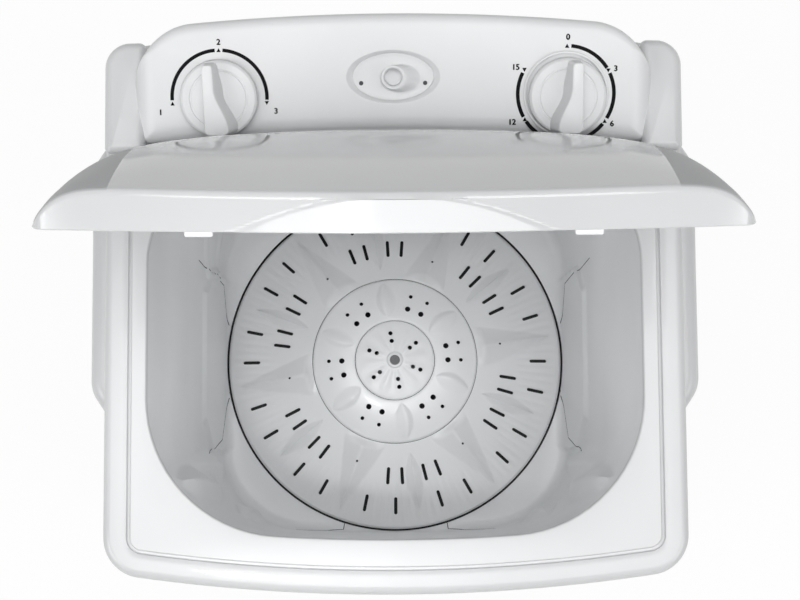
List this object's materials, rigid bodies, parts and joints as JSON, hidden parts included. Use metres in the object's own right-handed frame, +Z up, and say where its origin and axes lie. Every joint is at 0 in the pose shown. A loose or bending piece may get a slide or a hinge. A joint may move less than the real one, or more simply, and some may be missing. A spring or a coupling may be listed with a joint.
{
  "type": "washing machine",
  "caption": "Top-loading single-tub washing machine with a domed hinged lid, ribbed pulsator, side handles and a rear control housing with two dials.",
  "frame": {"origin": "on the floor under the middle of the machine", "axes": "+Z up, -Y towards the front, +X to the right seen from the front"},
  "size_m": [0.452, 0.4039, 1.0083],
  "materials": {
    "frame": "light grey, semi-gloss",
    "lid": "light grey, gloss",
    "console": "light grey, semi-gloss",
    "cabinet": "white-grey",
    "tub": "pale grey",
    "pulsator": "pale blue-grey",
    "knob": "light grey",
    "rubber": "black",
    "steel": "zinc plated",
    "dark": "dark grey",
    "casting": "as cast",
    "bronze": "sintered",
    "motor": "black",
    "can": "plain"
  },
  "bodies": {
    "machine": {"base_frame": "dark", "feet": "rubber", "foot_screws": "steel", "cabinet": "cabinet", "back_cover": "cabinet", "back_cover_screws": "steel", "top_frame": "frame", "tub": "tub", "right_handle": "frame", "left_handle": "frame", "handle_screws": "steel", "bearing_housing": "casting", "upper_bush": "bronze", "lower_bush": "bronze", "shaft_seal": "rubber", "bearing_bolts": "steel", "motor_bracket": "steel", "motor_housing": "motor", "motor_mounts": "rubber", "motor_bolts": "steel", "drive_belt": "rubber", "drain_valve_body": "dark", "drain_spring": "steel", "drain_outlet": "dark", "overflow_pipe": "dark", "overflow_grille": "tub", "capacitor": "can", "capacitor_clip": "steel", "cord_gland": "dark", "control_housing": "console", "control_housing_screws": "steel", "water_inlet": "console", "inlet_screws": "steel", "inlet_pipe": "dark", "selector_body": "dark", "timer_body": "dark"},
    "lid_leaf": {"lid": "lid", "lid_hinge_pins": "steel", "lid_bumpers": "knob"},
    "selector": {"selector_knob": "knob", "selector_shaft": "steel"},
    "timer": {"timer_knob": "knob", "timer_shaft": "steel"},
    "pulsator": {"pulsator_disc": "pulsator", "pulsator_ring_cap": "pulsator", "pulsator_hub_cap": "pulsator", "pulsator_screw": "steel", "pulsator_shaft": "steel", "drive_pulley": "casting", "pulley_nut": "steel"},
    "rotor": {"rotor_shaft": "steel", "motor_pulley": "casting"},
    "plug": {"drain_plug": "rubber"}
  },
  "joints": [
    {"name": "lid_hinge", "type": "hinge", "parent": "machine", "child": "lid_leaf", "pos_m": [0, 0.11, 0.7], "axis": [1, 0, 0], "range_deg": [0, 72.2]},
    {"name": "selector_turn", "type": "hinge", "parent": "machine", "child": "selector", "pos_m": [-0.121, 0.1445, 0.75463], "axis": [0, -0.3116, 0.9502], "range_deg": [-90, 90]},
    {"name": "timer_turn", "type": "hinge", "parent": "machine", "child": "timer", "pos_m": [0.121, 0.1445, 0.75463], "axis": [0, -0.3116, 0.9502], "range_deg": [-300, 0]},
    {"name": "pulsator_spin", "type": "hinge", "parent": "machine", "child": "pulsator", "pos_m": [0, 0, 0.2], "axis": [0, 0, 1], "continuous": true},
    {"name": "motor_spin", "type": "hinge", "parent": "machine", "child": "rotor", "pos_m": [0.09192, 0.09192, 0.095], "axis": [0, 0, 1], "continuous": true},
    {"name": "drain_lift", "type": "slide", "parent": "machine", "child": "plug", "axis": [0, 0, -1], "range_m": [0, 0.01], "stiffness_N_per_m": 400, "springref_m": -0.01, "deforming": ["drain_spring"]}
  ],
  "couplings": [
    {"joint": "motor_spin", "follows": "pulsator_spin", "ratio": 3.8191}
  ]
}
